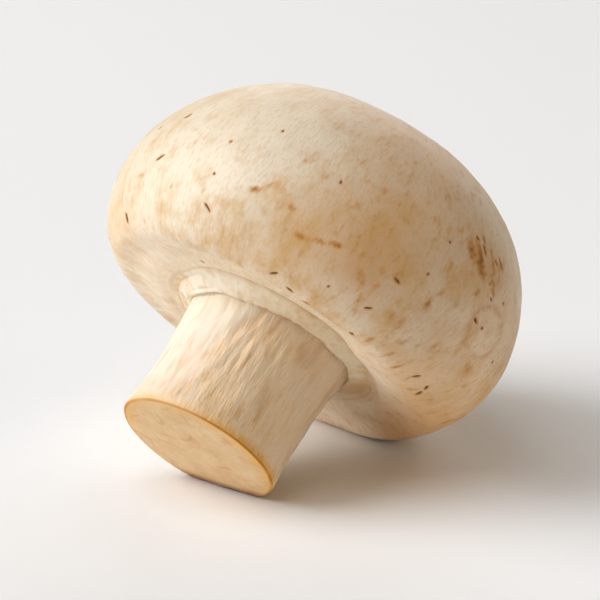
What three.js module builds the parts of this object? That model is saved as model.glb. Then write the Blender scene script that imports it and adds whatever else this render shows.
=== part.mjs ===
// A button mushroom: a closed white cap on a short cut stem, lying on its side.
//
// The fruit body grew as one piece, so it is one closed solid. Cap, rolled lip,
// the torn veil under the lip and the stem are one flesh, with no seam between
// them. Lengths are in millimetres and angles in degrees.
//
// The mushroom is first turned about its stem axis, Y, with the middle of the
// cut face at the origin. It is then grown out of round, its cap is leaned, and
// it is laid down on the surface z = 0, where the soft flesh is pressed flat.
// A bearing is an angle around the stem: 0 points to +X, 90 to the surface.

import * as THREE from 'three';

const { degToRad, lerp, smoothstep } = THREE.MathUtils;

// Driving dimensions: the stem
const CUT_RADIUS = 9.25;
const CUT_BULGE = 0.4; // the middle of the cut face stands proud of its rim
const RIM_ROUNDING = 0.5;
const WAIST_RADIUS = 8.95;
const WAIST_HEIGHT = 6.5;
const COLLAR_RADIUS = 9.6; // the stem just under the torn edge of the veil
const COLLAR_HEIGHT = 14.6;

// Driving dimensions: the veil that closes the cap, and the lip at its outer edge
const VEIL_THICKNESS = 0.5;
const LIP_RADIUS = 12.7;
const LIP_HEIGHT = 16.3;
const LIP_BEAD = 0.35;

// Driving dimensions: the cap, as radius and height over the cut face, from just
// outside the lip round the margin and up to the crown
const CAP_OUTLINE = [
  [16.3, 15.9],
  [20.1, 15.0],
  [22.8, 17.1],
  [24.5, 20.5],
  [25.0, 24.7],
  [23.3, 31.0],
  [19.2, 36.7],
  [13.7, 40.4],
  [7.0, 42.2],
  [0.0, 42.8],
];

// How the growth leaves the round: lobes of the cap, each with its count, its
// share of the radius and the bearing of one crest
const CAP_LOBES = [
  { count: 2, share: 0.027, bearing: -24 },
  { count: 3, share: 0.021, bearing: -18 },
  { count: 4, share: 0.018, bearing: 2 },
];
const LOBE_FADE = 12; // distance from the lip over which the lobes set in

// The cap's own axis starts at the collar and leans off the stem's
const CAP_LEAN_UP = 4.6; // away from the surface
const CAP_LEAN_SIDE = 3.4; // towards +X

// How far each edge is skewed along the stem on its +X side and its surface side
const CUT_SKEW = { side: 0.6, down: -0.1 };
const COLLAR_SKEW = { side: 0.8, down: 0.7 };
const LIP_SKEW = { side: 0.7, down: 0.0 }; // on top of the cap's lean

// The pose at rest
const STEM_TILT = 37.5; // the stem's axis over the surface
const CUT_CENTRE = { x: -0.9, y: -18.0, z: 6.25 };

// Fineness of the mesh
const COLUMNS = 72;
const CUT_ROWS = 3;
const RIM_ROWS = 3;
const STEM_ROWS = 7;
const VEIL_ROWS = 3;
const LIP_ROWS = 4;
const CAP_ROWS = 26;

const point = (radius, height) => new THREE.Vector2(radius, height);

// The half outline of the turned form, from the middle of the cut to the crown
function outline() {
  const cut = new THREE.QuadraticBezierCurve(
    point(0, -CUT_BULGE),
    point(CUT_RADIUS / 2, -CUT_BULGE),
    point(CUT_RADIUS - RIM_ROUNDING, 0),
  );
  const rim = new THREE.EllipseCurve(
    CUT_RADIUS - RIM_ROUNDING, RIM_ROUNDING,
    RIM_ROUNDING, RIM_ROUNDING,
    -Math.PI / 2, 0, false,
  );
  const stem = new THREE.SplineCurve([
    point(CUT_RADIUS, RIM_ROUNDING),
    point(WAIST_RADIUS, WAIST_HEIGHT),
    point(COLLAR_RADIUS, COLLAR_HEIGHT),
  ]);
  const veil = new THREE.LineCurve(
    point(COLLAR_RADIUS + VEIL_THICKNESS, COLLAR_HEIGHT),
    point(LIP_RADIUS - LIP_BEAD, LIP_HEIGHT),
  );
  const lip = new THREE.EllipseCurve(
    LIP_RADIUS, LIP_HEIGHT,
    LIP_BEAD, LIP_BEAD,
    Math.PI, 2 * Math.PI, false,
  );
  const cap = new THREE.SplineCurve([
    point(LIP_RADIUS + LIP_BEAD, LIP_HEIGHT + LIP_BEAD / 2),
    ...CAP_OUTLINE.map(([radius, height]) => point(radius, height)),
  ]);
  return [
    ...cut.getSpacedPoints(CUT_ROWS),
    ...rim.getSpacedPoints(RIM_ROWS).slice(1),
    ...stem.getSpacedPoints(STEM_ROWS).slice(1),
    ...veil.getSpacedPoints(VEIL_ROWS),
    ...lip.getSpacedPoints(LIP_ROWS).slice(1),
    ...cap.getSpacedPoints(CAP_ROWS).slice(1),
  ];
}

function lobes(bearing) {
  const waves = CAP_LOBES.map(
    (lobe) => lobe.share * Math.cos(lobe.count * (bearing - degToRad(lobe.bearing))),
  );
  return waves.reduce((sum, wave) => sum + wave, 0);
}

// Moves one point of the cap: its lobes, then the lean of the cap's axis
function growCap(turned, radius, bearing) {
  const fromLip = Math.hypot(radius - LIP_RADIUS, turned.y - LIP_HEIGHT);
  const grown = smoothstep(fromLip, 0, LOBE_FADE);
  const reach = radius * (1 + grown * lobes(bearing));
  const place = new THREE.Vector3(
    reach * Math.cos(bearing),
    turned.y - COLLAR_HEIGHT,
    -reach * Math.sin(bearing),
  );
  place.y += (1 - grown) * (LIP_SKEW.side * Math.cos(bearing) + LIP_SKEW.down * Math.sin(bearing));
  const lean = new THREE.Euler(degToRad(CAP_LEAN_UP), 0, -degToRad(CAP_LEAN_SIDE));
  return place.applyEuler(lean).add(new THREE.Vector3(0, COLLAR_HEIGHT, 0));
}

// Moves one point of the stem or veil: its level is skewed between two edges
function growStem(turned, radius, bearing) {
  const lipEdge = growCap(point(LIP_RADIUS, LIP_HEIGHT), LIP_RADIUS, bearing).y - LIP_HEIGHT;
  const skewed = (skew) => skew.side * Math.cos(bearing) + skew.down * Math.sin(bearing);
  const up = turned.y <= COLLAR_HEIGHT
    ? lerp(skewed(CUT_SKEW), skewed(COLLAR_SKEW), turned.y / COLLAR_HEIGHT)
    : lerp(
      skewed(COLLAR_SKEW), lipEdge,
      (turned.y - COLLAR_HEIGHT) / (LIP_HEIGHT - COLLAR_HEIGHT),
    );
  const share = Math.min(radius / CUT_RADIUS, 1);
  return new THREE.Vector3(turned.x, turned.y + share * up, turned.z);
}

function grow(turned) {
  const radius = Math.hypot(turned.x, turned.z);
  const bearing = Math.atan2(-turned.z, turned.x);
  const onCap = radius > LIP_RADIUS - LIP_BEAD || turned.y > LIP_HEIGHT;
  return onCap ? growCap(turned, radius, bearing) : growStem(turned, radius, bearing);
}

function mushroomGeometry() {
  const geometry = new THREE.LatheGeometry(outline(), COLUMNS);
  const places = geometry.getAttribute('position');
  const layDown = new THREE.Matrix4().makeRotationX(degToRad(STEM_TILT));
  const place = new THREE.Vector3();
  for (let i = 0; i < places.count; i += 1) {
    place.fromBufferAttribute(places, i);
    place.copy(grow(place)).applyMatrix4(layDown).add(CUT_CENTRE);
    place.z = Math.max(place.z, 0);
    places.setXYZ(i, place.x, place.y, place.z);
  }
  geometry.computeVertexNormals();
  return geometry;
}

const flesh = new THREE.MeshStandardMaterial({
  color: 0xd9c3a0,
  roughness: 0.6,
  metalness: 0.0,
});

const mushroom = new THREE.Mesh(mushroomGeometry(), flesh);
mushroom.name = 'mushroom';

const part = new THREE.Group();
part.add(mushroom);

export default part;
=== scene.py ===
"""The looks of a button mushroom lying on its side.

The whole fruit body is one continuous mesh. Its profile runs from the middle of the cut face, over
the rim, up the stem, under the torn edge of the veil, over the veil, through the groove under the
lip, and round the cap to the crown. A bearing is an angle around the stem: 0 points to +X and 90 to
the surface that the mushroom lies on, so 270 is its upper side. A distance is measured along the
profile from the lip: it grows over the cap, and is negative on the veil, the stem and the cut.

Named values are in millimetres and degrees, arrays of bearings are in radians, and the mesh and the
stage are in metres.
"""
import itertools
import math
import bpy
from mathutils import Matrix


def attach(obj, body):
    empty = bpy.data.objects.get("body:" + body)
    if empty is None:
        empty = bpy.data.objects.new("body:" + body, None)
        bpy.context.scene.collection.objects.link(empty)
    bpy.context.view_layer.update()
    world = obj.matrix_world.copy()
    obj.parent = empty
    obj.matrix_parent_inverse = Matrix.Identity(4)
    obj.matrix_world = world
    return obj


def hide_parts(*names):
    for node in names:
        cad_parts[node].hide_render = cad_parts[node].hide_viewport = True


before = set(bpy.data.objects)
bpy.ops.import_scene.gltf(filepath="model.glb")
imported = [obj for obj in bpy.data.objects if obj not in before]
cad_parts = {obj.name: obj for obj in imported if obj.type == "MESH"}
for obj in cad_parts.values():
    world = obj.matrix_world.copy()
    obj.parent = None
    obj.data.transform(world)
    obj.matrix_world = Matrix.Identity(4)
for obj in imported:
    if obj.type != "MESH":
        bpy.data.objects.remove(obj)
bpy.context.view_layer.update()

from types import SimpleNamespace

import bpy
import numpy as np
from mathutils import Vector

MM = 0.001
NODE = "mushroom"

# The stem
CUT_RADIUS = 9.25
CUT_BULGE = 0.4
RIM_ROUNDING = 0.3
WAIST_RADIUS = 8.95
WAIST_HEIGHT = 6.5
COLLAR_RADIUS = 9.6
COLLAR_HEIGHT = 14.6

# The lip, the edge of the cap's skin that overhangs the veil
LIP_RADIUS = 12.7
LIP_HEIGHT = 16.3

# The veil is a puffy band between the stem and the lip. Each outline runs from its free edge to
# the bottom of the groove under the lip: a point's radius, and its height over the free edge. It
# stands off the stem where it is loose, and lies flush on it where it is tight.
VEIL_POCKET = 0.5
EDGE_ROUNDING = 0.16
VEIL_TOP = [(12.45, 1.85), (12.65, 2.1)]
LOOSE_EDGE_RADIUS = 10.1
LOOSE_VEIL = [(10.22, 0), (10.6, 0.15), (11.15, 0.5), (11.7, 1), (12.15, 1.5)] + VEIL_TOP
TIGHT_EDGE_RADIUS = 9.8
TIGHT_VEIL = [(9.94, 0), (10.35, 0.15), (11, 0.5), (11.6, 1), (12.1, 1.5)] + VEIL_TOP
LOOSE_BEARINGS = (276, 300, 390, 405)

# The veil's free edge is torn: teeth of two sizes ride on a wave, each with a height, bumps to a
# radian and a seed. The edge is pinched at one bearing, tucked up where the cap hangs over it, and
# torn down in a flap. The veil moves with it up to a rise over it.
TEAR_WAVE = (0.16, 3.1, 5)
TEAR_TEETH = [(0.18, 9, 6), (0.11, 22, 8)]
CLOSED_TEETH = 0.5  # the share of the teeth that is left where the edge has closed
PINCH = (229, 2.5)
PINCH_HEIGHT = 0.4
TUCK = (165, 185, 208, 228)
TUCK_HEIGHT = 0.8
FLAP = (343, 344, 350, 362)
FLAP_DROP = 0.22
TEAR_REACH = 1.2

# The cap from the groove to the crown, with a sharp lip in one stretch and a broad roll elsewhere
CROWN_HEIGHT = 42.8
GROOVE_GAP = 0.02
SHARP_LIP = [(12.85, 16.4), (13.05, 16.12), (13.6, 16.12), (16.3, 15.9)]
ROLLED_LIP = [(12.85, 16.4), (13.3, 15.75), (14.2, 15.2), (15.5, 15.1), (17.3, 15.25)]
SHARP_BEARINGS = (236, 262, 328, 350)
CAP_OUTLINE = [(20.1, 15), (22.8, 17.1), (24.5, 20.5), (25, 24.7), (23.3, 31), (19.2, 36.7),
               (13.7, 40.4), (7, 42.2), (0, CROWN_HEIGHT)]

# Distances along the profile: the edge of the cut, the veil's free edge, and a fold in the veil
CUT_EDGE = -19.83
VEIL_EDGE = -3.65
FOLD_PLACE = -2.85

# The groove under the lip has closed outside an open stretch, and the pocket under the veil's edge
# nearly so. Each is filled over a reach to both sides of its place along the profile.
GROOVE_OPEN = (240, 286, 358, 374)
GROOVE_REACH = 1.5
POCKET_OPEN = (266, 290, 400, 412)
POCKET_PLACE = VEIL_EDGE - 0.2
POCKET_REACH = 0.8
POCKET_FILL = 0.85

# How the growth leaves the round: the count of a set of lobes, its share of the radius, and the
# bearing of one crest. The lobes grow in from the lip, and the cap leans on the stem.
CAP_LOBES = [(2, 0.027, -24), (3, 0.021, -18), (4, 0.018, 2)]
LOBE_FADE = 12
CAP_LEAN_UP = 4.6
CAP_LEAN_SIDE = 3.4

# How far an edge is skewed along the stem, on its +X side and on its surface side
CUT_SKEW = (0.6, -0.1)
COLLAR_SKEW = (0.8, 0.7)
LIP_SKEW = (0.7, 0.0)

# The pose at rest
STEM_TILT = 37.5
CUT_CENTRE = (-0.9, -18, 6.25)
CONTACT_SOFTNESS = 0.1  # how gently the flesh turns flat on the surface

# The fineness of the mesh: columns all round, rows along each stretch of the profile, how much the
# cap's rows crowd towards the lip, and how finely a face that a nick crosses is split
COLUMNS = 360
CUT_ROWS = 18
RIM_ROWS = 5
STEM_ROWS = 54
EDGE_ROWS = 6
VEIL_ROWS = 26
CAP_ROWS = 96
CAP_CROWDING = 1.35
SPLIT = 4

# The regions, which are also the numbers of the material slots
CUT, STEM, VEIL, CAP = range(4)

# The relief of the skin is made of waves: the height, the size of a bump, and the seed of each.
# Those of the veil have bumps to a radian, and a length along the growth, in place of a size.
CAP_WAVES = [(0.14, 9, 1), (0.05, 3.6, 2), (0.018, 1.4, 3)]
STEM_WAVES = [(0.08, 6, 13), (0.06, 1.8, 19)]
CUT_WAVES = [(0.05, 2.6, 17), (0.02, 0.9, 18)]
VEIL_WAVES = [(0.09, 7, 2.2, 15), (0.05, 20, 1.2, 16)]

# The distances between which the relief of a region grows in and fades out
ON_CUT = (CUT_EDGE - 0.8, CUT_EDGE)
ON_STEM = (CUT_EDGE + 0.3, CUT_EDGE + 1.5, VEIL_EDGE - 1.2, VEIL_EDGE - 0.4)
ON_VEIL = (VEIL_EDGE + 0.1, VEIL_EDGE + 0.7, -1.2, -0.3)
ON_CAP = (0.5, 2.5)

# Near the lip the cap is evener on one side, and pleats run up from the lip
EVEN_BEARINGS = (160, 190, 240, 265)
EVEN_REACH = (12, 20)
EVEN_SHARE = 0.6
PLEAT_PLACE = (0.8, 3, 9, 16)
PLEAT_HEIGHT = 0.018

# The grooves along the stem are deeper on its rough side, and the waves are lower on the other
GROOVE_DEPTH = 0.04
ROUGH_BEARINGS = (256, 284, 450, 480)
ROUGH_DEPTH = 0.09
SMOOTH_SHARE = 0.4

# Zones of the skin: bearings, the middle and width of a bell of distances or the four distances
# of a window, and a strength
RIDGE = ((328, 348, 374, 396), (5.2, 2.2), 0.55)  # a roll of the cap by the lip, lower right
DEEP_GROOVES = ((268, 288, 330, 350), (-15, -10, -5.4, -4.8), 0.14)
VEIL_FOLDS = [
    ((264, 280, 330, 345), (VEIL_EDGE + 0.45, 0.35), 0.1),  # a bead along the free edge
    ((236, 244, 256, 268), (FOLD_PLACE, 0.2), -0.2),  # a fold at the left end
    ((236, 244, 256, 268), (FOLD_PLACE - 0.4, 0.3), 0.08),  # and its raised bank
]

# Small open nicks in the cap's skin: bearing, distance, length, how far it turns from the meridian
# towards greater bearings, width, and how dark it is
NICKS = [
    (253, 22.5, 0.9, 45, 0.3, 1), (243, 21, 0.5, 55, 0.3, 1), (255, 16.5, 1.25, 60, 0.15, 0.8),
    (276, 16, 0.2, -55, 0.13, 0.95), (285, 23.5, 0.2, 5, 0.12, 1), (275, 20, 0.2, 0, 0.14, 0.55),
    (278, 12.5, 1.1, -55, 0.12, 0.8), (241, 10, 1.2, -10, 0.4, 1), (262, 1.5, 0.55, -15, 0.16, 0.45),
    (302, 9, 0.8, 50, 0.12, 0.7), (308, 8, 0.75, -70, 0.16, 0.9), (314, 7.5, 0.6, -90, 0.14, 0.8),
    (316, 11, 0.2, 0, 0.14, 0.6), (305, 21, 0.4, -10, 0.14, 0.6), (341, 25.5, 0.4, -60, 0.12, 0.9),
    (344, 25, 1, -35, 0.1, 0.8), (334, 22.5, 0.2, 0, 0.14, 0.6), (349, 25, 0.6, -50, 0.1, 0.7),
    (351, 25.5, 1.3, -50, 0.09, 0.7), (351, 21, 0.3, -65, 0.11, 0.7), (356, 22, 0.2, 0, 0.16, 0.85),
    (350, 18, 0.6, -65, 0.14, 0.9), (333, 18, 0.2, 0, 0.16, 0.6), (328, 15.5, 0.7, -75, 0.14, 0.7),
    (327, 11.5, 0.6, 50, 0.1, 0.75), (353, 18, 0.25, 0, 0.18, 0.7), (5, 17, 0.3, -40, 0.14, 0.6),
    (352, 9.5, 0.7, 15, 0.13, 0.9), (358, 9.5, 0.6, -45, 0.14, 0.95), (0, 8.5, 0.8, -30, 0.12, 0.95),
    (24, 10.5, 1.6, -40, 0.14, 0.7), (330, 7.5, 0.5, -75, 0.34, 0.85),
]
NICK_DEPTH = 0.16
HALO = 0.32  # how far the flesh is browned around a nick

# The nicks scattered over the hidden sides: their number, and the range of each value
HIDDEN_NICKS = 26
HIDDEN_BEARINGS = (52, 224)
HIDDEN_DISTANCES = (8, 30)
HIDDEN_LENGTHS = [0.2, 0.5, 0.8, 1.2]
HIDDEN_TURNS = (-80, 80)
HIDDEN_WIDTHS = (0.12, 0.18)
HIDDEN_DARKNESS = (0.5, 1)

# The dent across the middle of the cap: bearing, distance, length, turn, width and depth. The
# faint round scar: bearing, distance, radius and width.
DENT = (308, 14.7, 4.6, 73, 1.3, 0.10)
SCAR = (355, 18, 2.7, 0.25)
SCAR_DEPTH = 0.05

# Soft bruises in the cap's skin: bearing, distance, length, turn, width and strength
BRUISES = [
    (249, 14.5, 3.5, 80, 0.8, 0.4), (288, 16, 1.5, 70, 0.9, 1), (291, 17, 3, 35, 0.6, 0.5),
    (298, 16, 3, 70, 0.8, 0.6), (296, 21.5, 1.5, 60, 0.7, 0.45), (304, 14, 2.5, 80, 0.7, 0.9),
    (308, 14.5, 2.5, 70, 0.7, 0.8), (312, 15, 2.5, 70, 0.8, 1), (265, 18.5, 2, 5, 0.4, 0.3),
    (264, 13.5, 1, -25, 0.5, 0.3), (340, 23.5, 3.5, -40, 0.8, 0.9), (344, 23.5, 3.5, -35, 0.7, 1),
    (349, 23.5, 4, -25, 0.4, 0.9), (351, 25, 2, -50, 0.6, 0.65), (342, 23.5, 3.5, -45, 1, 0.8),
    (346, 20.5, 1, 85, 0.8, 0.5), (320, 14, 2, -30, 1.2, 0.35), (318, 15.5, 1.5, 55, 0.7, 0.3),
    (337, 15.5, 2, -20, 0.8, 0.6), (338, 17, 1, -45, 0.7, 0.45), (346, 20, 1, -45, 0.7, 0.9),
    (360, 14, 2, 20, 0.7, 0.4), (4, 13, 1, 30, 0.6, 0.5), (340, 11, 1, 25, 0.7, 0.45),
    (334, 9, 1, 35, 0.6, 0.45), (341, 9.5, 1, 35, 0.6, 0.45), (346, 8.5, 2, 10, 0.6, 0.4),
    (358, 8, 2, 0, 0.4, 0.45), (16, 10.5, 1.5, 45, 0.7, 0.35), (24, 10.5, 2, -40, 0.7, 0.45),
    (275, 20, 1, 0, 0.8, 0.4), (278, 13, 3, -50, 0.5, 0.3), (328, 15.5, 1.5, -75, 0.9, 0.45),
    (341, 9, 1, 30, 0.4, 0.45), (346, 8.5, 2, 0, 0.4, 0.45), (346, 10, 2, 10, 0.5, 0.45),
    (340, 11.5, 2, 15, 0.6, 0.45), (333, 11, 1.5, 80, 0.4, 0.4), (337, 16, 2.5, -20, 0.8, 0.55),
    (338, 17.5, 1, 0, 0.6, 0.45), (359, 14, 2.5, -10, 0.7, 0.55), (16, 10.5, 3.5, -30, 0.6, 0.45),
    (25, 11, 3.5, -70, 0.4, 0.55), (27, 7, 4, -75, 0.7, 0.45), (334, 8.5, 2, 10, 0.5, 0.45),
    (343, 12, 2, -20, 0.7, 0.45), (346, 13, 2, 0, 0.7, 0.45), (352, 8.5, 2.5, -25, 0.5, 0.45),
    (351, 15.5, 1.5, -15, 0.6, 0.4), (335, 12.5, 2, 0, 0.7, 0.45), (350, 17, 2, -20, 0.6, 0.45),
    (248, 14.5, 3, 85, 0.5, 0.3), (264, 13.5, 0.6, 0, 0.5, 0.35), (261, 9.5, 0.6, 0, 0.5, 0.5),
    (253, 9.5, 0.6, 0, 0.5, 0.4), (265, 19, 1.5, 15, 0.4, 0.3), (296, 21.5, 1.5, 60, 0.6, 0.35),
    (280, 16, 1, 90, 0.5, 0.3), (256, 21.5, 2, 40, 0.6, 0.35), (275, 14, 2.5, -40, 0.3, 0.35),
    (296, 16, 2, 90, 0.5, 0.35), (341, 31, 2, -15, 0.6, 0.5), (342, 24.5, 3.5, -45, 1.2, 0.6),
    (345, 22.5, 3, -50, 1.2, 0.8), (349, 22.5, 2.5, -50, 0.7, 0.9), (350, 22, 2.5, -40, 0.5, 0.9),
    (343, 26, 2.5, -40, 0.5, 0.8), (347, 25, 3, -40, 0.5, 0.8), (320, 13.5, 2.5, -65, 1.8, 0.3),
    (334, 14.5, 2, -55, 0.7, 0.3), (337, 10.5, 2.5, 60, 0.6, 0.35),
]

# Where the skin has turned tan: bearing, distance, length, turn, width and strength
TAN_PATCHES = [
    # broad clouds on the cap
    (320, 17, 23, 0, 17, 0.95), (305, 16, 18, 0, 12, 0.6), (336, 24, 24, 0, 16, 0.35),
    (318, 32, 18, 0, 30, 0.45), (290, 11, 9, 0, 9, 0.35), (347, 24, 10, -30, 9, 0.75),
    (350, 12, 9, 0, 13, 0.4), (5, 9, 9, 0, 13, 0.7), (28, 9, 14, 0, 20, 1.0), (18, 20, 14, 0, 18, 0.5),
    (235, 11, 12, 0, 16, 0.25), (308, 34, 10, 0, 22, 0.35), (276, 8, 5, 0, 12, 0.2),
    (250, 34, 9, 0, 10, 0.2), (100, 20, 30, 0, 40, 0.5), (180, 22, 30, 0, 40, 0.3),
    (20, 9.5, 6, 0, 14, 0.5), (5, 1, 3, 0, 10, 0.5),
    # small clouds on the cap
    (320, 14, 4.5, 0, 4.5, 0.55), (336, 15, 4, 0, 4, 0.45), (344, 14.5, 4, 0, 3.5, 0.4),
    (358, 14, 4, 0, 4, 0.5), (333, 12, 3.5, 0, 3.5, 0.4), (344, 9.5, 4, 0, 5, 0.4),
    (326, 17, 4, 0, 5, 0.3), (340, 18, 3.5, 0, 3, 0.3), (350, 8, 4, 0, 4, 0.35),
    # on the veil and the stem
    (328, -1.8, 4, 0, 7, 0.3), (42, -2, 8, 0, 8, 0.8), (52, 8, 16, 0, 20, 0.9),
    (292, -16, 9, 10, 5, 0.6), (285, -12, 7, 15, 3, 0.8), (278, -17, 5, 10, 3, 0.8),
    (300, -13, 8, 10, 3, 0.8), (310, -18, 4, 0, 8, 0.8), (306, -8, 6, 0, 6, 0.4),
    (330, -17, 6, 0, 10, 0.3), (248, -18, 5, 0, 8, 0.4), (270, -18, 4, 0, 5, 0.4),
    (262, -13, 7, 0, 3, 0.4),
]

# Where the skin has stayed pale, with some patches of painted light among them, and where it is
# golden, written the same way
PALE_AND_LIT_PATCHES = [
    # the patch at bearing 260 on the cap is a painted highlight, and the one at bearing 265 under the
    # veil's edge is painted light
    (282, 24.5, 14, 0, 18, 1), (232, 8, 12, 0, 20, 0.5), (238, 19, 9, 0, 16, 0.7),
    (345, 31, 12, 0, 14, 0.9), (262, 24, 8, 0, 12, 0.3), (260, 14, 6, 0, 9, 0.6),
    (245, 1.5, 5, 0, 9, 0.6), (357, 3.5, 5, 0, 9, 0.8), (284, -2, 5, 0, 14, 0.7),
    (372, -2.5, 3, 0, 10, 0.4), (320, 10, 6, 0, 9, 0.5), (353, 20.5, 5, 0, 8, 0.6),
    (265, -6, 4, 0, 22, 0.9),
]
GOLDEN_PATCHES = [
    (350, 10, 9, 0, 9, 0.45), (224, 10, 12, 0, 24, 0.5), (355, 18, 24, 0, 24, 0.35),
    (28, 16, 14, 0, 20, 0.4), (20, 12, 20, 0, 22, 0.5), (310, 8, 14, 0, 20, 0.2),
    (120, 15, 20, 0, 40, 0.4),
]

# The side of the stem and the veil away from the key, in bearings: warmer in tone, and partly painted
# warm shade
WARM_SHADED_BEARINGS = (268, 316, 400, 470)

# Painted shade in the folds, as zones, and painted contact shade up to a height where the flesh rests
# on the surface
PAINTED_CREASE_SHADES = [
    (GROOVE_OPEN, (-0.35, 0.6), 0.55),  # the shade under the open lip
    (GROOVE_OPEN, (-0.05, 0.2), 1),  # and the painted dark line of shade in it
    ((276, 300, 385, 398), (VEIL_EDGE - 0.1, 0.2), 1),  # painted shade in the open pocket under the veil's edge
    ((195, 212, 230, 248), (-2.4, -0.6, 0.3, 1.5), 0.5),  # painted soft shade in a valley where the groove closed
    ((14, 34, 222, 232), (-3.8, -2.4, 0.3, 1.5), 0.3),  # painted soft shade where the veil grew into cap and stem
]
CONTACT_SHADE_HEIGHT = 1.6
CONTACT_SHADE_CAP = 0.6  # the cap gets less of the painted contact shade

# The juice that dried along the cut: how much, how much more in two stretches, and how uneven
STAIN = 0.55
EXTRA_STAIN = 0.45
STAINED_BEARINGS = [(175, 195, 222, 240), (285, 315, 375, 390)]
STAIN_WAVE = 0.25

GRAIN = 12  # the radius of the tube on which patterns run along the growth


# -------- small tools

def smooth_step(value, low, high):
    share = np.clip((value - low) / (high - low), 0, 1)
    return share * share * (3 - 2 * share)


def window(value, start, full, end, gone):
    """1 between full and end, falling smoothly to 0 at start and gone."""
    return smooth_step(value, start, full) * (1 - smooth_step(value, end, gone))


def bell(value, middle, width):
    """1 in the middle, and about a third at a width from it."""
    return np.exp(-((value - middle) / width) ** 2)


def mix(a, b, share):
    return a + (b - a) * share


def rotated(a, b, degrees):
    """Turns a place on a plane, from its first axis towards its second."""
    angle = math.radians(degrees)
    return a * math.cos(angle) - b * math.sin(angle), a * math.sin(angle) + b * math.cos(angle)


def arc(radius, start, end, samples):
    """Steps out and up from the middle of a rounding, which turns from start to end."""
    turns = np.radians(np.linspace(start, end, samples))
    return list(zip(radius * np.cos(turns), radius * np.sin(turns)))


def curve_through(points, samples, crowding=1.0):
    """Points evenly spaced along a smooth curve, or closer together at its start."""
    knots = np.array(points, float)
    before = 2 * knots[0] - knots[1]
    after = 2 * knots[-1] - knots[-2]
    knots = np.vstack([before, knots, after])
    steps = np.sqrt(np.linalg.norm(np.diff(knots, axis=0), axis=1))
    times = np.concatenate([[0], np.cumsum(steps)])
    fine = np.linspace(times[1], times[-2], 1200)
    at = np.clip(np.searchsorted(times, fine, side="right") - 1, 1, len(knots) - 3)

    def blend(low, high, at_low, at_high):
        share = ((fine - times[at + low]) / (times[at + high] - times[at + low]))[:, None]
        return mix(at_low, at_high, share)

    first = blend(-1, 0, knots[at - 1], knots[at])
    second = blend(0, 1, knots[at], knots[at + 1])
    third = blend(1, 2, knots[at + 1], knots[at + 2])
    curve = blend(0, 1, blend(-1, 1, first, second), blend(0, 2, second, third))
    length = np.concatenate([[0], np.cumsum(np.linalg.norm(np.diff(curve, axis=0), axis=1))])
    wanted = length[-1] * np.linspace(0, 1, samples) ** crowding
    return np.stack([np.interp(wanted, length, curve[:, axis]) for axis in (0, 1)], 1)


GRADIENTS = np.random.default_rng(7).normal(size=(256, 3))
GRADIENTS /= np.linalg.norm(GRADIENTS, axis=1)[:, None]


def soft_noise(places, seed=0):
    """Smooth random values, from about -1 to 1, with one bump to a unit."""
    cell = np.floor(places).astype(np.int64)
    offset = places - cell
    fade = offset ** 3 * (offset * (offset * 6 - 15) + 10)
    total = np.zeros(places.shape[:-1])
    for corner in itertools.product((0, 1), repeat=3):
        # Large numbers scramble a corner of the lattice into the choice of its slope
        lattice = cell + corner
        mixed = (lattice * (73856093, 19349663, 83492791)).sum(-1) + seed * 51787
        mixed ^= mixed >> 13
        slope = GRADIENTS[(mixed * 1274126177 >> 8) & 255]
        share = np.where(corner, fade, 1 - fade).prod(-1)
        total += share * (slope * (offset - corner)).sum(-1)
    return 1.6 * total


def round_noise(bearing, around, along=0.0, seed=0):
    """Noise with a given number of bumps to a radian around the stem, and a place along it."""
    along = along + np.zeros_like(bearing)
    places = np.stack([np.cos(bearing) * around, np.sin(bearing) * around, along], -1)
    return soft_noise(places, seed)


def stretch(bearing, bearings):
    """1 between the two middle bearings, 0 outside the outer two."""
    first = bearings[0] - 90
    turned = (np.degrees(bearing) - first) % 360 + first
    return window(turned, *bearings)


def zone(skin, bearings, distances, strength):
    """A strength over a stretch of bearings, and over a bell or a window of distances."""
    shape = bell if len(distances) == 2 else window
    return strength * stretch(skin.bearing, bearings) * shape(skin.distance, *distances)


# -------- the grown shape

def torn_edge(bearing):
    """How much further up the stem the veil's free edge lies."""
    def tear(height, bumps, seed):
        return height * round_noise(bearing, bumps, seed=seed)

    ragged = mix(CLOSED_TEETH, 1, stretch(bearing, POCKET_OPEN))
    teeth = ragged * sum(tear(*kind) for kind in TEAR_TEETH)
    pinch = PINCH_HEIGHT * bell(np.degrees(bearing), *PINCH)
    tuck = TUCK_HEIGHT * stretch(bearing, TUCK)
    flap = FLAP_DROP * stretch(bearing, FLAP)
    return tear(*TEAR_WAVE) + teeth + pinch + tuck - flap


def stem_outline():
    """The cut face, the rim and the side of the stem: radius, height, region, share of the tear."""
    rows = []
    for t in np.linspace(0, 1, CUT_ROWS + 1)[1:]:
        rows.append(((CUT_RADIUS - RIM_ROUNDING) * t, -CUT_BULGE * (1 - t * t), CUT, 0))
    for out, up in arc(RIM_ROUNDING, -90, 0, RIM_ROWS + 1)[1:]:
        rows.append((CUT_RADIUS - RIM_ROUNDING + out, RIM_ROUNDING + up, STEM, 0))
    side = curve_through(
        [(CUT_RADIUS, RIM_ROUNDING), (WAIST_RADIUS, WAIST_HEIGHT),
         (COLLAR_RADIUS, COLLAR_HEIGHT), (COLLAR_RADIUS + 0.1, COLLAR_HEIGHT + VEIL_POCKET)],
        STEM_ROWS + 1)
    for radius, height in side[1:]:
        rows.append((radius, height, STEM, smooth_step(height, WAIST_HEIGHT, COLLAR_HEIGHT)))
    return rows


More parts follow.
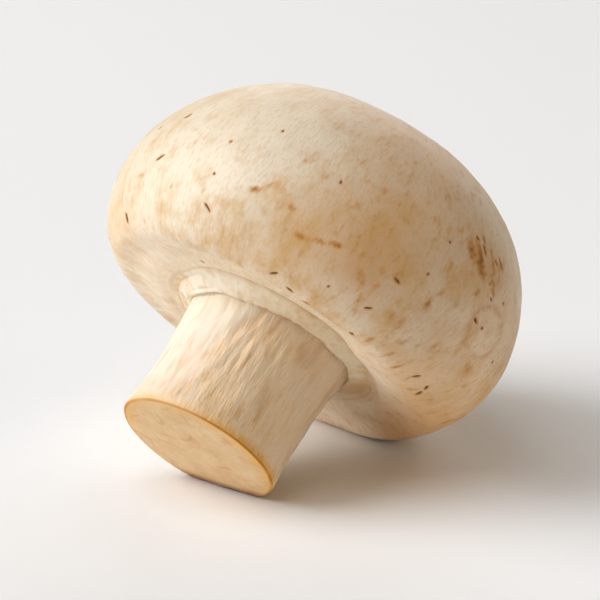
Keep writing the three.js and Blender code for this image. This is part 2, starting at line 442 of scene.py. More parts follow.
def veil_outline(edge_radius, outline):
    """The inner side of the veil's edge, its rounding and the puffy band, in the same way."""
    rows = [(mix(COLLAR_RADIUS, edge_radius, 0.6), COLLAR_HEIGHT + VEIL_POCKET - 0.1, VEIL, 1)]
    for out, up in arc(EDGE_ROUNDING, -180, 0, EDGE_ROWS):
        rows.append((edge_radius + out, COLLAR_HEIGHT + up, VEIL, 1))
    for radius, rise in curve_through(outline, VEIL_ROWS + 1)[1:]:
        rows.append((radius, COLLAR_HEIGHT + rise, VEIL, 1 - smooth_step(rise, 0, TEAR_REACH)))
    return rows


def cap_outline(lip):
    """The cap from the groove to the crown, in the same way, without its two ends."""
    radius, rise = VEIL_TOP[-1]
    groove_shade = (radius + GROOVE_GAP, COLLAR_HEIGHT + rise + GROOVE_GAP)
    curve = curve_through([groove_shade] + lip + CAP_OUTLINE, CAP_ROWS + 2, CAP_CROWDING)
    return [(radius, height, CAP, 0) for radius, height in curve[1:-1]]


def fill_furrow(profile, distance, middle, reach, share):
    """Straightens a stretch of the profile, by a share for each column."""
    first, last = np.searchsorted(distance, (middle - reach, middle + reach))
    across = (distance[first:last] - distance[first]) / (distance[last - 1] - distance[first])
    strength = share * smooth_step(np.sin(math.pi * across), 0, 0.6)[:, None]
    straight = mix(profile[:, first, None], profile[:, last - 1, None], across[:, None])
    profile[:, first:last] = mix(profile[:, first:last], straight, strength)


def turned_profile(bearing):
    """Radius and height of every row and column before growth; each row's region and distance."""
    loose = stretch(bearing, LOOSE_BEARINGS)
    sharp = stretch(bearing, SHARP_BEARINGS)

    def between(one, other, share):
        return mix(np.array(one)[:, None], np.array(other)[:, None], share[:, None])

    rows = np.concatenate([
        between(stem_outline(), stem_outline(), loose),
        between(veil_outline(TIGHT_EDGE_RADIUS, TIGHT_VEIL),
                veil_outline(LOOSE_EDGE_RADIUS, LOOSE_VEIL), loose),
        between(cap_outline(ROLLED_LIP), cap_outline(SHARP_LIP), sharp)])
    profile, region, share_of_tear = rows[..., :2], rows[:, 0, 2], rows[..., 3]
    profile = np.moveaxis(profile, -1, 0).copy()
    regions = region.round().astype(int)
    steps = np.hypot(*np.diff(profile.mean(2), axis=1))
    distance = np.concatenate([[0], np.cumsum(steps)])
    distance -= distance[np.argmax(regions == CAP)]
    profile[1] += share_of_tear * torn_edge(bearing)
    closed = 1 - stretch(bearing, GROOVE_OPEN)
    fill_furrow(profile, distance, 0, GROOVE_REACH, closed)
    closed = POCKET_FILL * (1 - stretch(bearing, POCKET_OPEN))
    fill_furrow(profile, distance, POCKET_PLACE, POCKET_REACH, closed)
    return profile, regions, distance


def lobes(bearing):
    return sum(share * np.cos(count * (bearing - math.radians(crest)))
               for count, share, crest in CAP_LOBES)


def skewed(skew, bearing):
    return skew[0] * np.cos(bearing) + skew[1] * np.sin(bearing)


def leaned(place):
    """Turns a place about the collar by the lean of the cap."""
    x, y, z = place
    x, y = rotated(x, y, -CAP_LEAN_SIDE)
    y, z = rotated(y, z, CAP_LEAN_UP)
    return x, y + COLLAR_HEIGHT, z


def grow_cap(radius, height, bearing):
    grown = smooth_step(np.hypot(radius - LIP_RADIUS, height - LIP_HEIGHT), 0, LOBE_FADE)
    reach = radius * (1 + grown * lobes(bearing))
    lift = (1 - grown) * skewed(LIP_SKEW, bearing)
    return leaned((reach * np.cos(bearing), height - COLLAR_HEIGHT + lift,
                   -reach * np.sin(bearing)))


def grow_stem(radius, height, bearing):
    """Skews the stem, and makes the veil follow the lip of the leaning cap."""
    lip_lift = grow_cap(LIP_RADIUS, LIP_HEIGHT, bearing)[1] - LIP_HEIGHT
    collar_lift = skewed(COLLAR_SKEW, bearing)
    on_stem = mix(skewed(CUT_SKEW, bearing), collar_lift, height / COLLAR_HEIGHT)
    over = np.clip((height - COLLAR_HEIGHT) / (LIP_HEIGHT - COLLAR_HEIGHT), 0, 1)
    lift = np.where(height <= COLLAR_HEIGHT, on_stem, mix(collar_lift, lip_lift, over))
    lift = lift * np.minimum(radius / CUT_RADIUS, 1)
    return radius * np.cos(bearing), height + lift, -radius * np.sin(bearing)


def lie_down(place):
    """Tilts the stem's axis, Y, to its angle over the surface and sets the cut face in place."""
    x, y, z = place
    y, z = rotated(y, z, STEM_TILT)
    return np.stack([x, y, z], -1) + CUT_CENTRE


def base_shape():
    """The smooth grown form as grids of rows and columns, and each row's region."""
    bearing = np.linspace(0, 2 * math.pi, COLUMNS, endpoint=False)
    (radius, height), regions, distance = turned_profile(bearing)
    on_cap = (regions == CAP)[:, None]
    bearing = np.broadcast_to(bearing, radius.shape)
    places = np.where(on_cap[..., None],
                      lie_down(grow_cap(radius, height, bearing)),
                      lie_down(grow_stem(radius, height, bearing)))
    distance = np.broadcast_to(distance[:, None], radius.shape)
    return SimpleNamespace(bearing=bearing, distance=distance, radius=radius, place=places), regions


# -------- the fine relief of the skin

def along_and_across(skin, bearing, distance, turn):
    """Places in millimetres from a point on the skin, along a turned line and across it."""
    away = (skin.bearing - math.radians(bearing) + math.pi) % (2 * math.pi) - math.pi
    across, along = rotated(away * skin.radius, skin.distance - distance, turn)
    return along, across


def near_line(skin, bearing, distance, length, turn, width):
    """1 on a short line that thins out to its ends, falling to 0 at HALO from its edge."""
    along, across = along_and_across(skin, bearing, distance, turn)
    across = across + 0.05 * soft_noise(skin.place / 0.5, 23)
    along = 2 * along / length
    thickness = width / 2 * np.maximum(1 - along ** 4, 0)
    past_end = np.maximum(np.abs(along) - 1, 0) * length / 2
    return np.clip(1 - (np.hypot(past_end, across) - thickness) / HALO, 0, 1)


def soft_patch(skin, bearing, distance, length, turn, width):
    """1 in the middle of an oval, fading out around it."""
    along, across = along_and_across(skin, bearing, distance, turn)
    return np.exp(-2 * ((2 * along / length) ** 2 + (2 * across / width) ** 2))


def all_nicks():
    """The listed nicks, and others like them on the rest of the cap."""
    chance = np.random.default_rng(12)
    hidden = [(chance.uniform(*HIDDEN_BEARINGS), chance.uniform(*HIDDEN_DISTANCES),
               chance.choice(HIDDEN_LENGTHS), chance.uniform(*HIDDEN_TURNS),
               chance.uniform(*HIDDEN_WIDTHS), chance.uniform(*HIDDEN_DARKNESS))
              for _ in range(HIDDEN_NICKS)]
    return NICKS + hidden


def nick_marks(skin):
    """How near each place lies to a nick, and how dark that nick is."""
    nearness = np.zeros_like(skin.distance)
    darkness = np.zeros_like(skin.distance)
    for *line, dark in all_nicks():
        near = near_line(skin, *line)
        darkness[near > nearness] = dark
        nearness = np.maximum(nearness, near)
    return nearness, darkness


def scar_ring(skin):
    bearing, distance, radius, width = SCAR
    away = np.hypot(*along_and_across(skin, bearing, distance, 0))
    return bell(away, radius, width)


def stem_grooves(skin):
    """Broken grooves along the stem: from about -1 on their banks to 1 at their bottoms."""
    wavy = skin.bearing + 0.05 * round_noise(skin.bearing, 3, skin.distance / 4, seed=10)
    fine = round_noise(wavy, 13, skin.distance / 3, seed=12)
    return -round_noise(wavy, 6, skin.distance / 5.5, seed=11) - 0.6 * fine


def waves(skin, kinds):
    return sum(height * soft_noise(skin.place / size, seed) for height, size, seed in kinds)


def cap_relief(skin):
    even = stretch(skin.bearing, EVEN_BEARINGS) * (1 - smooth_step(skin.distance, *EVEN_REACH))
    on_cap = smooth_step(skin.distance, *ON_CAP) * (1 - EVEN_SHARE * even)
    pleats = PLEAT_HEIGHT * window(skin.distance, *PLEAT_PLACE)
    pleats = pleats * round_noise(skin.bearing, 28, skin.distance / 7, seed=4)
    return on_cap * waves(skin, CAP_WAVES) + pleats + zone(skin, *RIDGE)


def stem_relief(skin):
    rough = stretch(skin.bearing, ROUGH_BEARINGS)
    depth = GROOVE_DEPTH + ROUGH_DEPTH * rough + zone(skin, *DEEP_GROOVES)
    uneven = mix(SMOOTH_SHARE, 1, rough) * waves(skin, STEM_WAVES)
    return window(skin.distance, *ON_STEM) * (uneven - depth * stem_grooves(skin))


def veil_relief(skin):
    puffy = sum(height * round_noise(skin.bearing, bumps, skin.distance / length, seed)
                for height, bumps, length, seed in VEIL_WAVES)
    return window(skin.distance, *ON_VEIL) * puffy + sum(zone(skin, *kind) for kind in VEIL_FOLDS)


def cut_relief(skin):
    return (1 - smooth_step(skin.distance, *ON_CUT)) * waves(skin, CUT_WAVES)


def relief(skin):
    """How far the surface stands out from the smooth grown form."""
    *dent, dent_depth = DENT
    grown = cap_relief(skin) + stem_relief(skin) + veil_relief(skin) + cut_relief(skin)
    sunken = dent_depth * soft_patch(skin, *dent) + SCAR_DEPTH * scar_ring(skin)
    open_flesh = NICK_DEPTH * smooth_step(skin.nick, 0.65, 1) * skin.darkness
    return grown - sunken - open_flesh


# -------- the mesh

def split_grid(rows, fine):
    """Faces between neighbouring rows, those marked fine split into SPLIT by SPLIT.

    Returns the faces and, for each corner, its row and column on the finely split grid. The
    corners of the coarse grid come first, row by row.
    """
    around = COLUMNS * SPLIT
    numbers = {}

    def corner(row, column):
        return numbers.setdefault((row, column % around), len(numbers))

    for row in range(rows):
        for column in range(COLUMNS):
            corner(row * SPLIT, column * SPLIT)
    faces = []
    for row in range(rows - 1):
        for column in range(COLUMNS):
            low, left = row * SPLIT, column * SPLIT
            if fine[row, column]:
                for i, j in itertools.product(range(low, low + SPLIT), range(left, left + SPLIT)):
                    faces.append((corner(i, j), corner(i, j + 1),
                                  corner(i + 1, j + 1), corner(i + 1, j)))
                continue
            high, right = low + SPLIT, left + SPLIT
            steps = range(SPLIT)
            sides = [
                (row > 0 and fine[row - 1, column], [(low, left + k) for k in steps]),
                (fine[row, (column + 1) % COLUMNS], [(low + k, right) for k in steps]),
                (row + 2 < rows and fine[row + 1, column], [(high, right - k) for k in steps]),
                (fine[row, column - 1], [(high - k, left) for k in steps]),
            ]
            ring = [spot for is_fine, spots in sides for spot in (spots if is_fine else spots[:1])]
            faces.append(tuple(corner(*spot) for spot in ring))
    return faces, np.array(list(numbers))


def at_corners(grid, spots):
    """Values of a grid of rows and columns, read between them at the finely split corners."""
    row, column = spots[:, 0] / SPLIT, spots[:, 1] / SPLIT
    low = np.minimum(row.astype(int), len(grid) - 2)
    left = column.astype(int)
    right = (left + 1) % COLUMNS
    tail = (slice(None),) + (None,) * (grid.ndim - 2)
    down, over = (row - low)[tail], (column - left)[tail]
    return mix(mix(grid[low, left], grid[low, right], over),
               mix(grid[low + 1, left], grid[low + 1, right], over), down)


def outward_normals(places):
    around = np.roll(places, -1, 1) - np.roll(places, 1, 1)
    along = np.gradient(places, axis=0)
    normals = np.cross(around, along)
    return normals / np.linalg.norm(normals, axis=-1, keepdims=True)


def crossed_by_nicks(skin):
    """The faces that a nick touches."""
    touched = np.zeros(skin.distance.shape, bool)
    for *line, _ in all_nicks():
        touched |= near_line(skin, *line) > 0
    touched |= np.roll(touched, -1, 1)
    return touched[:-1] | touched[1:]


def grown_skin():
    """Faces, the region of each, the facts of every corner as arrays, and the count of rows."""
    grid, regions = base_shape()
    rows = len(regions)
    faces, spots = split_grid(rows, crossed_by_nicks(grid))
    skin = SimpleNamespace(
        bearing=spots[:, 1] * (2 * math.pi / (COLUMNS * SPLIT)),
        distance=at_corners(grid.distance, spots),
        radius=at_corners(grid.radius, spots),
        place=at_corners(grid.place, spots),
        normal=at_corners(outward_normals(grid.place), spots))
    skin.nick, skin.darkness = nick_marks(skin)
    face_rows = np.array([spots[list(face), 0].min() // SPLIT for face in faces])
    return faces, regions[np.minimum(face_rows + 1, rows - 1)], skin, rows


def end_fans(rows, middle, crown):
    """Triangles around the middle of the cut, and around the crown."""
    last = (rows - 1) * COLUMNS
    pairs = [(column, (column + 1) % COLUMNS) for column in range(COLUMNS)]
    return ([(middle, right, left) for left, right in pairs]
            + [(crown, last + left, last + right) for left, right in pairs])


def mushroom_mesh():
    faces, regions, skin, rows = grown_skin()
    points = skin.place + skin.normal * relief(skin)[:, None]
    points[:, 2] = 0.5 * (points[:, 2] + np.hypot(points[:, 2], CONTACT_SOFTNESS))
    ends = [lie_down((0, -CUT_BULGE, 0)), lie_down(leaned((0, CROWN_HEIGHT - COLLAR_HEIGHT, 0)))]
    fans = end_fans(rows, len(points), len(points) + 1)
    points = np.vstack([points, ends])

    mesh = bpy.data.meshes.new("mushroom_flesh")
    mesh.from_pydata((points * MM).tolist(), [], faces + fans)
    mesh.shade_smooth()
    slots = np.concatenate([regions, [CUT] * COLUMNS, [CAP] * COLUMNS])
    mesh.polygons.foreach_set("material_index", slots.astype(np.int32))
    store(mesh, "grain", grain_places(skin))
    for name, values in colour_facts(skin).items():
        store(mesh, name, np.append(values, [0, 0]))
    return mesh


# -------- colour facts kept on the mesh

def store(mesh, name, values):
    """Keeps a number or a vector for every corner of the mesh."""
    values = np.asarray(values, np.float32)
    kind, field = ("FLOAT_VECTOR", "vector") if values.ndim == 2 else ("FLOAT", "value")
    mesh.attributes.new(name, kind, "POINT").data.foreach_set(field, values.ravel())


def grain_places(skin):
    """Places on the growth unrolled into a straight tube, and its two ends on the axis."""
    around = GRAIN * np.cos(skin.bearing), GRAIN * np.sin(skin.bearing)
    ends = (0, 0, skin.distance.min()), (0, 0, skin.distance.max())
    return np.vstack([np.stack([*around, skin.distance], -1), ends])


def covered(skin, patches):
    """How much of a list of soft oval patches covers each place."""
    bare = np.ones_like(skin.distance)
    for *oval, strength in patches:
        bare = bare * (1 - strength * soft_patch(skin, *oval))
    return 1 - bare


def painted_crease_shade(skin):
    """Painted shade where the flesh lies folded, and painted contact shade where it rests on the
    surface.
    """
    contact_shade = 1 - smooth_step(skin.place[:, 2], 0, CONTACT_SHADE_HEIGHT)
    contact_shade *= np.where(skin.distance < VEIL_EDGE, 1, CONTACT_SHADE_CAP)
    return np.maximum.reduce([zone(skin, *kind) for kind in PAINTED_CREASE_SHADES] + [contact_shade])


def stain(skin):
    """How much juice has dried along the cut."""
    extra = np.maximum.reduce([stretch(skin.bearing, bearings)
                               for bearings in STAINED_BEARINGS])
    return STAIN + EXTRA_STAIN * extra + STAIN_WAVE * round_noise(skin.bearing, 4, seed=21)


def colour_facts(skin):
    return {
        "nick": skin.nick,
        "darkness": skin.darkness,
        "scar": scar_ring(skin),
        "stain": stain(skin),
        "bruise": covered(skin, BRUISES),
        "tan": covered(skin, TAN_PATCHES),
        "golden": covered(skin, GOLDEN_PATCHES),
        "crease_shade": painted_crease_shade(skin),
        "pale_and_lit": covered(skin, PALE_AND_LIT_PATCHES),
        "groove_shade": smooth_step(stem_grooves(skin), 0, 1),
        "warm_shaded_side": stretch(skin.bearing, WARM_SHADED_BEARINGS),
    }


# -------- materials

def colour(red, green, blue):
    """A linear colour from the usual 0 to 255 values."""
    shares = [value / 255 for value in (red, green, blue)]
    return tuple(s / 12.92 if s <= 0.04045 else ((s + 0.055) / 1.055) ** 2.4 for s in shares) + (1,)


GLOW_RADIUS = (1.0, 0.5, 0.25)  # how far each colour of light spreads in the flesh
GLOW_DEPTH = 0.6

CREAM = colour(238, 223, 198)
LIP_CREAM = colour(252, 238, 214)
TAN = colour(213, 167, 103)
DUSK = colour(208, 160, 107)
GOLD = colour(242, 186, 110)
ORANGE = colour(202, 138, 62)
BROWN = colour(148, 92, 38)
NICK_BROWN = colour(70, 36, 12)
STEM_WHITE = colour(240, 226, 207)
STEM_WARM = colour(250, 222, 183)
STROKE = colour(210, 156, 86)
VEIL_PALE = colour(253, 242, 220)
VEIL_WARM = colour(239, 216, 177)
RUST = colour(200, 128, 26)
AMBER = colour(230, 168, 62)
LIGHT_AMBER = colour(240, 184, 92)
CUT_TAN = colour(238, 207, 160)
CUT_DARK = colour(220, 174, 118)


class Paint:
    """A material: colours are laid over its base, and other methods return new nodes' sockets."""

    def __init__(self, name, base):
        self.material = bpy.data.materials.new(name)
        self.material.use_nodes = True
        self.tree = self.material.node_tree
        self.shader = self.tree.nodes["Principled BSDF"]
        self.base = base

    def feed(self, socket, value):
        """Links or sets an input. A word stands for a number of that name, kept on the mesh."""
        if isinstance(value, str):
            value = self.node("Attribute", {}, attribute_name=value).outputs["Fac"]
        if isinstance(value, bpy.types.NodeSocket):
            self.tree.links.new(value, socket)
        else:
            socket.default_value = value

    def node(self, kind, inputs, **settings):
        node = self.tree.nodes.new("ShaderNode" + kind)
        for name, value in settings.items():
            setattr(node, name, value)
        for name, value in inputs.items():
            self.feed(node.inputs[name], value)
        return node

    def unrolled(self):
        """Places on the unrolled growth."""
        return self.node("Attribute", {}, attribute_name="grain").outputs["Vector"]

    def distance(self):
        return self.node("SeparateXYZ", {0: self.unrolled()}).outputs["Z"]

    def streaks(self, around, along, **settings):
        """Noise that runs along the growth, finer with greater numbers."""
        places = self.node("VectorMath", {0: self.unrolled(), 1: (around, around, along)},
                           operation="MULTIPLY")
        return self.noise(places.outputs[0], **settings)

    def clouds(self, size, **settings):
        """Noise with bumps of a size in millimetres."""
        base = self.node("TexCoord", {}).outputs["Object"]
        places = self.node("VectorMath", {0: base, "Scale": 1 / (size * MM)}, operation="SCALE")
        return self.noise(places.outputs[0], **settings)

    def noise(self, places, detail, shift, roughness=0.5):
        """Random values from 0 to 1, mostly near a half."""
        moved = self.node("VectorMath", {0: places, 1: (shift, shift, shift)}).outputs[0]
        return self.node("TexNoise", {"Vector": moved, "Scale": 1.0, "Detail": detail,
                                      "Roughness": roughness}).outputs["Fac"]

    def rise(self, value, low, high):
        """0 below low, 1 above high and smooth between; low may be the greater one."""
        return self.node("MapRange", {"Value": value, "From Min": low, "From Max": high},
                         interpolation_type="SMOOTHSTEP").outputs["Result"]

    def band(self, value, start, full, end, gone):
        return self.times(self.rise(value, start, full), self.rise(value, gone, end))

    def combined(self, operation, values, clamp=False):
        result = values[0]
        for value in values[1:]:
            result = self.node("Math", {0: result, 1: value}, operation=operation,
                               use_clamp=clamp).outputs[0]
        return result

    def times(self, *values):
        return self.combined("MULTIPLY", values)

    def plus(self, *values, clamp=False):
        return self.combined("ADD", values, clamp)

    def ramp(self, start, gain, value, clamp=False):
        """A value times a gain, plus a start."""
        return self.plus(start, self.times(gain, value), clamp=clamp)

    def swing(self, noise, amount):
        """How far a noise is from a half, times an amount."""
        return self.times(self.plus(noise, -0.5), amount)

    def cover(self, over, *shares):
        """Lays a colour over the base, by the product of the shares."""
        node = self.node("Mix", {0: self.times(*shares)}, data_type="RGBA")
        self.feed(node.inputs[6], self.base)
        self.feed(node.inputs[7], over)
        self.base = node.outputs[2]

    def finish(self, height, depth, roughness, specular, glow):
        """Connects the colour, and a relief of a height from 0 to 1 and a depth in millimetres."""
        bump = self.node("Bump", {"Height": height, "Distance": depth * MM, "Strength": 1.0})
        wanted = {
            "Base Color": self.base,
            "Roughness": roughness,
            "Specular IOR Level": specular,
            "Normal": bump.outputs["Normal"],
            "Subsurface Weight": glow,
            "Subsurface Radius": GLOW_RADIUS,
            "Subsurface Scale": GLOW_DEPTH * MM,
        }
        for name, value in wanted.items():
            self.feed(self.shader.inputs[name], value)
        return self.material


def paint_crease_shade(paint):
    """Painted shade: tan where the flesh is folded, and brown deep in the fold."""
    paint.cover(TAN, 0.7, "crease_shade")
    paint.cover(BROWN, 0.5, paint.rise("crease_shade", 0.6, 1))


def shade_bruises(paint, streak, speck):
    """Bruises that break up into streaks and specks."""
    broken = paint.plus(paint.rise(streak, 0.38, 0.6), paint.rise(speck, 0.5, 0.65), clamp=True)
    bruise = paint.times("bruise", paint.ramp(0.5, 0.5, broken))
    paint.cover(ORANGE, 0.8, paint.rise(bruise, 0.02, 0.5))
    paint.cover(BROWN, paint.rise(bruise, 0.35, 1))


def shade_nicks(paint):
    """Orange around a nick, then brown, and nearly black inside it."""
    paint.cover(ORANGE, 0.8, "darkness", paint.rise("nick", 0.1, 0.9))
    paint.cover(BROWN, "darkness", paint.rise("nick", 0.65, 0.92))
    paint.cover(NICK_BROWN, "darkness", paint.rise("nick", 0.85, 1))


def dry_juice(paint, over, where, start, full, share=1):
    """Juice from a start to where it is full, both as distances from the edge of the cut."""
    reached = paint.rise(where, CUT_EDGE + start, CUT_EDGE + full)
    paint.cover(over, share, paint.times(reached, "stain"))


def cap_paint():
    paint = Paint("cap_skin", CREAM)
    broad = paint.streaks(1.3, 0.16, detail=2, shift=3)
    streak = paint.streaks(2.6, 0.6, detail=4, roughness=0.6, shift=11)
    hair = paint.streaks(7, 1.1, detail=3, roughness=0.6, shift=5)
    cloud = paint.clouds(6.5, detail=4, roughness=0.55, shift=2)
    mottle = paint.clouds(2.6, detail=4, roughness=0.6, shift=14)
    speck = paint.clouds(1.2, detail=2, shift=8)
    pores = paint.clouds(0.4, detail=2, shift=19)

    # Cream, paler by the lip, tan where it has darkened, in clouds drawn out along the growth
    where = paint.distance()
    paint.cover(LIP_CREAM, paint.band(where, -0.5, 1, 4, 11))
    # Pale patches keep the skin cream; among them is a painted highlight
    fresh = paint.ramp(1, -1, "pale_and_lit")
    paint.cover(DUSK, 0.9, fresh, "tan")
    uneven = paint.plus(paint.swing(cloud, 1.9), paint.swing(broad, 1), paint.swing(mottle, 1.9))
    lively = paint.ramp(0.5, 0.65, paint.band(where, 3, 9, 17, 25))
    paint.cover(TAN, fresh, paint.ramp(0.14, lively, uneven, clamp=True))
    paint.cover(GOLD, "golden", 0.6)

    # Short orange strokes, more of them where the skin is tan, and fine lines along the growth
    room = paint.ramp(0.2, 0.9, "tan", clamp=True)
    strokes = paint.times(paint.rise(streak, 0.47, 0.72), paint.rise(mottle, 0.38, 0.62), room)
    paint.cover(ORANGE, strokes, 0.95)
    lines = paint.ramp(0.34, 0.25, "golden")
    paint.cover(TAN, paint.rise(hair, 0.46, 0.7), lines)

    # The marks: bruises, the broken ring of the scar, painted shade in the creases, and nicks
    shade_bruises(paint, streak, speck)
    paint.cover(ORANGE, 0.5, paint.rise(cloud, 0.35, 0.55), "scar")
    paint_crease_shade(paint)
    shade_nicks(paint)

    height = paint.plus(paint.times(streak, 0.5), paint.times(hair, 0.3),
                        paint.times(speck, 0.2), paint.times(pores, 0.2))
    roughness = paint.plus(0.38, paint.times(speck, 0.16),
                           paint.times(0.4, paint.rise("nick", 0.6, 1)))
    return paint.finish(height, 0.08, roughness, specular=0.35, glow=0.12)


def veil_paint():
    paint = Paint("veil_membrane", VEIL_PALE)
    cloud = paint.clouds(2.8, detail=3, shift=4)
    mottle = paint.clouds(1.1, detail=2, shift=13)
    streak = paint.streaks(3.5, 0.8, detail=3, shift=9)
    uneven = paint.plus(paint.swing(cloud, 1.3), paint.swing(streak, 0.4))
    # Warmer on the side away from the key, partly as painted warm shade
    warmth = paint.plus(0.1, paint.times(0.7, "warm_shaded_side"), uneven, clamp=True)
    paint.cover(VEIL_WARM, warmth)
    paint.cover(TAN, paint.rise(cloud, 0.5, 0.7), 0.45)
    paint.cover(TAN, paint.rise(mottle, 0.5, 0.68), 0.3)
    paint.cover(DUSK, 0.8, "tan")
    paint.cover(VEIL_PALE, 0.6, "pale_and_lit")
    # Painted shade in the creases
    paint_crease_shade(paint)
    height = paint.plus(paint.times(streak, 0.5), paint.times(cloud, 0.5))
    return paint.finish(height, 0.12, 0.65, specular=0.25, glow=0.15)


def stem_paint():
    paint = Paint("stem_fibres", STEM_WHITE)
    broad = paint.streaks(0.8, 0.1, detail=2, shift=6)
    streak = paint.streaks(1.2, 0.34, detail=4, roughness=0.6, shift=1)
    hair = paint.streaks(4.5, 0.8, detail=3, roughness=0.6, shift=7)
    cloud = paint.clouds(4, detail=2, shift=12)

    # White, warmer on the side away from the key, partly as painted warm shade, and there more uneven
    uneven = paint.plus(0.1, paint.swing(broad, 0.8), paint.swing(cloud, 0.8),
                        paint.swing(streak, 1))
    uneven = paint.times(uneven, paint.ramp(0.4, 0.6, "warm_shaded_side"))
    paint.cover(STEM_WARM, paint.plus(paint.times(0.8, "warm_shaded_side"), uneven, clamp=True))
    # Paler patches, among them painted light just under the veil's edge
    paint.cover(VEIL_PALE, 0.6, "pale_and_lit")

    # Tan where it has darkened, in strokes and along fine fibres, and painted warm shade in the
    # grooves
    room = paint.plus(0.1, "tan", clamp=True)
    strokes = paint.times(paint.rise(streak, 0.5, 0.66), room)
    paint.cover(TAN, 0.45, "tan")
    paint.cover(STROKE, strokes, 0.85)
    # painted warm shade in the bottoms of the grooves
    paint.cover(STROKE, "groove_shade", 0.4)
    fibres = paint.ramp(0.08, 0.15, "warm_shaded_side")
    paint.cover(TAN, paint.rise(hair, 0.5, 0.75), fibres)

    # The juice that dried along the cut, with a ragged edge
    where = paint.distance()
    ragged = paint.plus(where, paint.swing(streak, 2))
    dry_juice(paint, LIGHT_AMBER, ragged, 1.7, 0.3, share=0.7)
    dry_juice(paint, AMBER, ragged, 0.9, 0.2, share=0.55)
    dry_juice(paint, RUST, where, 0.36, 0.26)
    # Painted shade under the veil's edge, and painted contact shade where the stem rests on the
    # surface
    paint.cover(BROWN, 0.8, "crease_shade")

    height = paint.times(paint.plus(paint.times(streak, 0.6), paint.times(hair, 0.4)),
                         paint.ramp(0.2, 0.8, "warm_shaded_side"))
    return paint.finish(height, 0.42, 0.6, specular=0.25, glow=0.12)


def cut_paint():
    paint = Paint("cut_flesh", CUT_TAN)
    cloud = paint.clouds(3.2, detail=3, shift=5)
    grit = paint.clouds(0.7, detail=3, shift=2)
    crumbs = paint.plus(0.35, paint.swing(cloud, 1.6), paint.swing(grit, 0.8), clamp=True)
    paint.cover(CUT_DARK, crumbs)

    # Thin veins, where a broad noise is a half
    centred = paint.plus(paint.clouds(5, detail=1, shift=17), -0.5)
    bend = paint.node("Math", {0: centred}, operation="ABSOLUTE").outputs[0]
    vein = paint.times(paint.rise(bend, 0.026, 0.004), paint.rise(cloud, 0.42, 0.6))
    paint.cover(ORANGE, 0.4, vein)

    # The juice that dried inside the edge
    where = paint.distance()
    ragged = paint.plus(where, paint.swing(cloud, 1.2))
    dry_juice(paint, LIGHT_AMBER, ragged, -1.9, -0.2, share=0.6)
    dry_juice(paint, AMBER, where, -0.25, 0.02)
    # Painted contact shade where the cut rests on the surface
    paint.cover(BROWN, 0.95, "crease_shade")
    height = paint.plus(paint.times(cloud, 0.5), paint.times(grit, 0.5))
    return paint.finish(height, 0.1, 0.5, specular=0.3, glow=0.15)


# -------- stage

# The floor reaches this far to each side, and lies just under the flesh that touches it
FLOOR_REACH = 1.2
FLOOR_DROP = 0.00005
FLOOR_WHITE = (0.9, 0.9, 0.9, 1)
FLOOR_ROUGHNESS = 0.9

# The lamps are softboxes: azimuth, elevation, width, height, brightness and tint
LAMP_DISTANCE = 2
LAMP_TARGET = (0, 0, 0.02)
LAMPS = {
    "key": (-43, 40, 1.35, 1.05, 0.8, (0.94, 0.965, 1)),
    "low_front_left": (-53, 11, 1.05, 0.7, 0.29, (1, 0.94, 0.89)),
    "back_left": (-155, 24, 1.6, 1.3, 0.33, (1, 1, 1)),
    "back_right": (112, 40, 1.4, 1.05, 0.15, (1, 0.74, 0.48)),
    "overhead": (-5, 70, 1.5, 1.2, 0.29, (0.92, 0.965, 1)),
}

# The sky lights the scene faintly, and the camera sees a plain backdrop in its place
SKY = (1.0, 0.82, 0.62, 1)
SKY_STRENGTH = 0.045
BACKDROP = (0.84, 0.84, 0.84, 1)

# The camera, as seen from its target; its lens and film are in millimetres
CAMERA_AZIMUTH = 39.5
CAMERA_ELEVATION = 18.6
CAMERA_DISTANCE = 0.1842
CAMERA_TARGET = (0.00259, -0.00465, 0.02068)
CAMERA_LENS = 100
CAMERA_FILM = 36
NEAREST_SEEN = 0.01


def aim(thing, at):
    direction = Vector(at) - thing.location
    thing.rotation_euler = direction.to_track_quat("-Z", "Y").to_euler()


def around(azimuth, elevation, distance):
    """A place seen from the origin; azimuth 0 is on the -Y side and 90 on the +X side."""
    azimuth, elevation = math.radians(azimuth), math.radians(elevation)
    return distance * Vector((math.sin(azimuth) * math.cos(elevation),
                              -math.cos(azimuth) * math.cos(elevation), math.sin(elevation)))


def in_scene(name, data):
    thing = bpy.data.objects.new(name, data)
    bpy.context.scene.collection.objects.link(thing)
    return thing


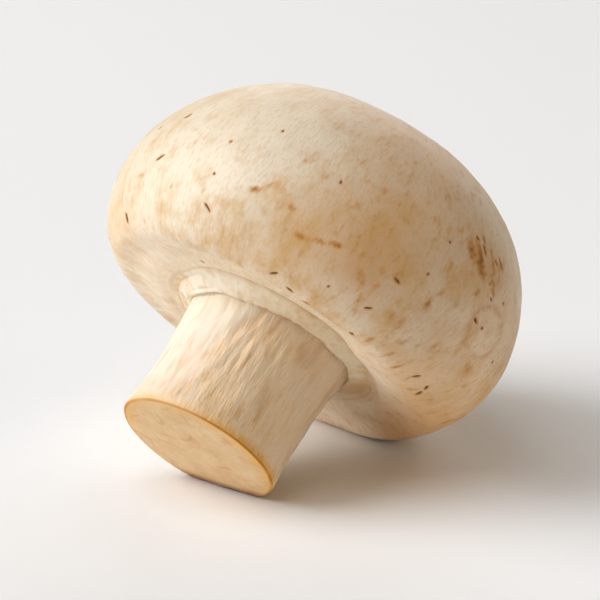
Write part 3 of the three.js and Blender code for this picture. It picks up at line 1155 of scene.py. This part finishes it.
def plain_floor():
    mesh = bpy.data.meshes.new("floor")
    corners = [(-1, -1), (1, -1), (1, 1), (-1, 1)]
    mesh.from_pydata([(x * FLOOR_REACH, y * FLOOR_REACH, 0) for x, y in corners], [],
                     [(0, 1, 2, 3)])
    floor = in_scene("floor", mesh)
    floor.location.z = -FLOOR_DROP
    paint = bpy.data.materials.new("floor_paint")
    paint.use_nodes = True
    shader = paint.node_tree.nodes["Principled BSDF"]
    shader.inputs["Base Color"].default_value = FLOOR_WHITE
    shader.inputs["Roughness"].default_value = FLOOR_ROUGHNESS
    mesh.materials.append(paint)


def softbox(name, azimuth, elevation, width, height, brightness, tint):
    """A lamp far off. A white surface that faces it, lit by it alone, renders at its brightness."""
    lamp = bpy.data.lights.new(name, "AREA")
    lamp.shape = "RECTANGLE"
    lamp.size = width
    lamp.size_y = height
    lamp.energy = brightness * (math.pi * LAMP_DISTANCE) ** 2
    lamp.color = tint
    thing = in_scene(name, lamp)
    thing.location = around(azimuth, elevation, LAMP_DISTANCE)
    aim(thing, LAMP_TARGET)


def sky_and_backdrop():
    world = bpy.data.worlds.new("world")
    bpy.context.scene.world = world
    world.use_nodes = True
    nodes, links = world.node_tree.nodes, world.node_tree.links
    sky = nodes["Background"]
    sky.inputs["Color"].default_value = SKY
    sky.inputs["Strength"].default_value = SKY_STRENGTH
    backdrop = nodes.new("ShaderNodeBackground")
    backdrop.inputs["Color"].default_value = BACKDROP
    seen = nodes.new("ShaderNodeLightPath")
    choice = nodes.new("ShaderNodeMixShader")
    links.new(seen.outputs["Is Camera Ray"], choice.inputs["Fac"])
    links.new(sky.outputs["Background"], choice.inputs[1])
    links.new(backdrop.outputs["Background"], choice.inputs[2])
    links.new(choice.outputs["Shader"], nodes["World Output"].inputs["Surface"])


def camera():
    lens = bpy.data.cameras.new("camera")
    lens.lens = CAMERA_LENS
    lens.sensor_width = CAMERA_FILM
    lens.clip_start = NEAREST_SEEN
    thing = in_scene("camera", lens)
    back = around(CAMERA_AZIMUTH, CAMERA_ELEVATION, CAMERA_DISTANCE)
    thing.location = Vector(CAMERA_TARGET) + back
    aim(thing, CAMERA_TARGET)
    bpy.context.scene.camera = thing


# -------- the scene

piece = in_scene("mushroom_flesh", mushroom_mesh())
for make_paint in (cut_paint, stem_paint, veil_paint, cap_paint):
    piece.data.materials.append(make_paint())
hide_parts(NODE)
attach(piece, "root")

plain_floor()
for name, lamp in LAMPS.items():
    softbox(name, *lamp)
sky_and_backdrop()
camera()
bpy.context.scene.view_settings.view_transform = "Standard"

bpy.context.view_layer.update()
